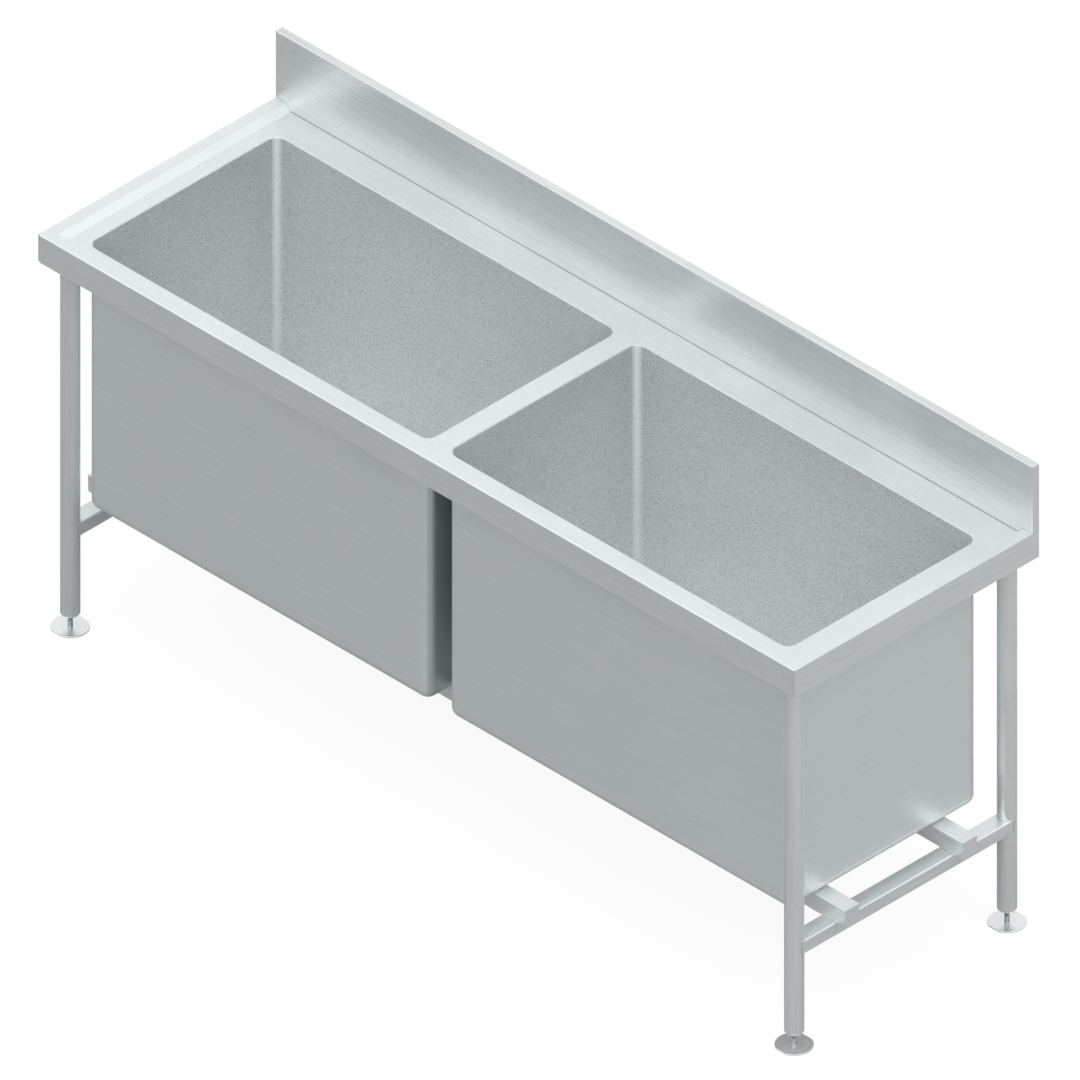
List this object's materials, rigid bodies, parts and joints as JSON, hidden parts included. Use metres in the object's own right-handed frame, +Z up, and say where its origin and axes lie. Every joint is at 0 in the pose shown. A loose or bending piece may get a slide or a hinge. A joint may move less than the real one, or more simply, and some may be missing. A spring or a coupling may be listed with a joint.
{
  "type": "kitchen sink unit",
  "caption": "Free-standing stainless sink unit with deep side-by-side bowls, a raised border, a splashback, and a tube underframe on levelling feet.",
  "frame": {"origin": "on the floor, at the centre of the overall box", "axes": "+X to the right along the length, +Y to the back (the wall side), +Z up"},
  "size_m": [2, 0.645, 1.049],
  "materials": {
    "satin_stainless_sheet": "satin, fine grain along the length",
    "satin_stainless_bowl": "satin",
    "satin_stainless_tube": "satin, fine grain along each tube",
    "mill_stainless": "mill finish, matt",
    "turned_stainless": "turned, fine rings",
    "polished_stainless": "polished",
    "black_rubber": "matt"
  },
  "bodies": {
    "frame": {"sink_top": "satin_stainless_sheet", "splashback": "satin_stainless_sheet", "end_plate_left": "satin_stainless_sheet", "end_plate_right": "satin_stainless_sheet", "bowl_left": "satin_stainless_bowl", "bowl_right": "satin_stainless_bowl", "leg_front_left": "satin_stainless_tube", "leg_front_right": "satin_stainless_tube", "leg_back_left": "satin_stainless_tube", "leg_back_right": "satin_stainless_tube", "leg_insert_front_left": "satin_stainless_tube", "leg_insert_front_right": "satin_stainless_tube", "leg_insert_back_left": "satin_stainless_tube", "leg_insert_back_right": "satin_stainless_tube", "side_rail_left": "satin_stainless_tube", "side_rail_right": "satin_stainless_tube", "crossbar_front": "satin_stainless_tube", "crossbar_back": "satin_stainless_tube", "crossbar_cap_front_left": "satin_stainless_tube", "crossbar_cap_front_right": "satin_stainless_tube", "crossbar_cap_back_left": "satin_stainless_tube", "crossbar_cap_back_right": "satin_stainless_tube", "leg_socket_front_left": "mill_stainless", "leg_socket_front_right": "mill_stainless", "leg_socket_back_left": "mill_stainless", "leg_socket_back_right": "mill_stainless", "top_channel_left": "mill_stainless", "top_channel_right": "mill_stainless", "leg_screws": "mill_stainless", "waste_body_left": "turned_stainless", "waste_body_right": "turned_stainless", "waste_backnut_left": "turned_stainless", "waste_backnut_right": "turned_stainless", "waste_gasket_left": "black_rubber", "waste_gasket_right": "black_rubber"},
    "strainer_left": {"strainer_left": "polished_stainless", "strainer_stopper_left": "black_rubber"},
    "strainer_right": {"strainer_right": "polished_stainless", "strainer_stopper_right": "black_rubber"},
    "foot_pad_front_left": {"foot_pad_front_left": "turned_stainless"},
    "foot_stem_front_left": {"foot_stem_front_left": "turned_stainless"},
    "foot_pad_front_right": {"foot_pad_front_right": "turned_stainless"},
    "foot_stem_front_right": {"foot_stem_front_right": "turned_stainless"},
    "foot_pad_back_left": {"foot_pad_back_left": "turned_stainless"},
    "foot_stem_back_left": {"foot_stem_back_left": "turned_stainless"},
    "foot_pad_back_right": {"foot_pad_back_right": "turned_stainless"},
    "foot_stem_back_right": {"foot_stem_back_right": "turned_stainless"}
  },
  "joints": [
    {"name": "strainer_lift_left", "type": "slide", "parent": "frame", "child": "strainer_left", "axis": [0, 0, 1], "range_m": [0, 0.7]},
    {"name": "strainer_lift_right", "type": "slide", "parent": "frame", "child": "strainer_right", "axis": [0, 0, 1], "range_m": [0, 0.7]},
    {"name": "foot_height_front_left", "type": "slide", "parent": "frame", "child": "foot_pad_front_left", "axis": [0, 0, 1], "range_m": [-0.03, 0.025]},
    {"name": "foot_screw_front_left", "type": "hinge", "parent": "foot_pad_front_left", "child": "foot_stem_front_left", "pos_m": [-0.9565, -0.2812, 0.0025], "axis": [0, 0, 1], "range_deg": [-7210, 6010]},
    {"name": "foot_height_front_right", "type": "slide", "parent": "frame", "child": "foot_pad_front_right", "axis": [0, 0, 1], "range_m": [-0.03, 0.025]},
    {"name": "foot_screw_front_right", "type": "hinge", "parent": "foot_pad_front_right", "child": "foot_stem_front_right", "pos_m": [0.9565, -0.2812, 0.0025], "axis": [0, 0, 1], "range_deg": [-7210, 6010]},
    {"name": "foot_height_back_left", "type": "slide", "parent": "frame", "child": "foot_pad_back_left", "axis": [0, 0, 1], "range_m": [-0.03, 0.025]},
    {"name": "foot_screw_back_left", "type": "hinge", "parent": "foot_pad_back_left", "child": "foot_stem_back_left", "pos_m": [-0.9565, 0.2812, 0.0025], "axis": [0, 0, 1], "range_deg": [-7210, 6010]},
    {"name": "foot_height_back_right", "type": "slide", "parent": "frame", "child": "foot_pad_back_right", "axis": [0, 0, 1], "range_m": [-0.03, 0.025]},
    {"name": "foot_screw_back_right", "type": "hinge", "parent": "foot_pad_back_right", "child": "foot_stem_back_right", "pos_m": [0.9565, 0.2812, 0.0025], "axis": [0, 0, 1], "range_deg": [-7210, 6010]}
  ],
  "couplings": [
    {"joint": "foot_screw_front_left", "follows": "foot_height_front_left", "rad_per_m": 4188.8},
    {"joint": "foot_screw_front_right", "follows": "foot_height_front_right", "rad_per_m": 4188.8},
    {"joint": "foot_screw_back_left", "follows": "foot_height_back_left", "rad_per_m": 4188.8},
    {"joint": "foot_screw_back_right", "follows": "foot_height_back_right", "rad_per_m": 4188.8}
  ]
}
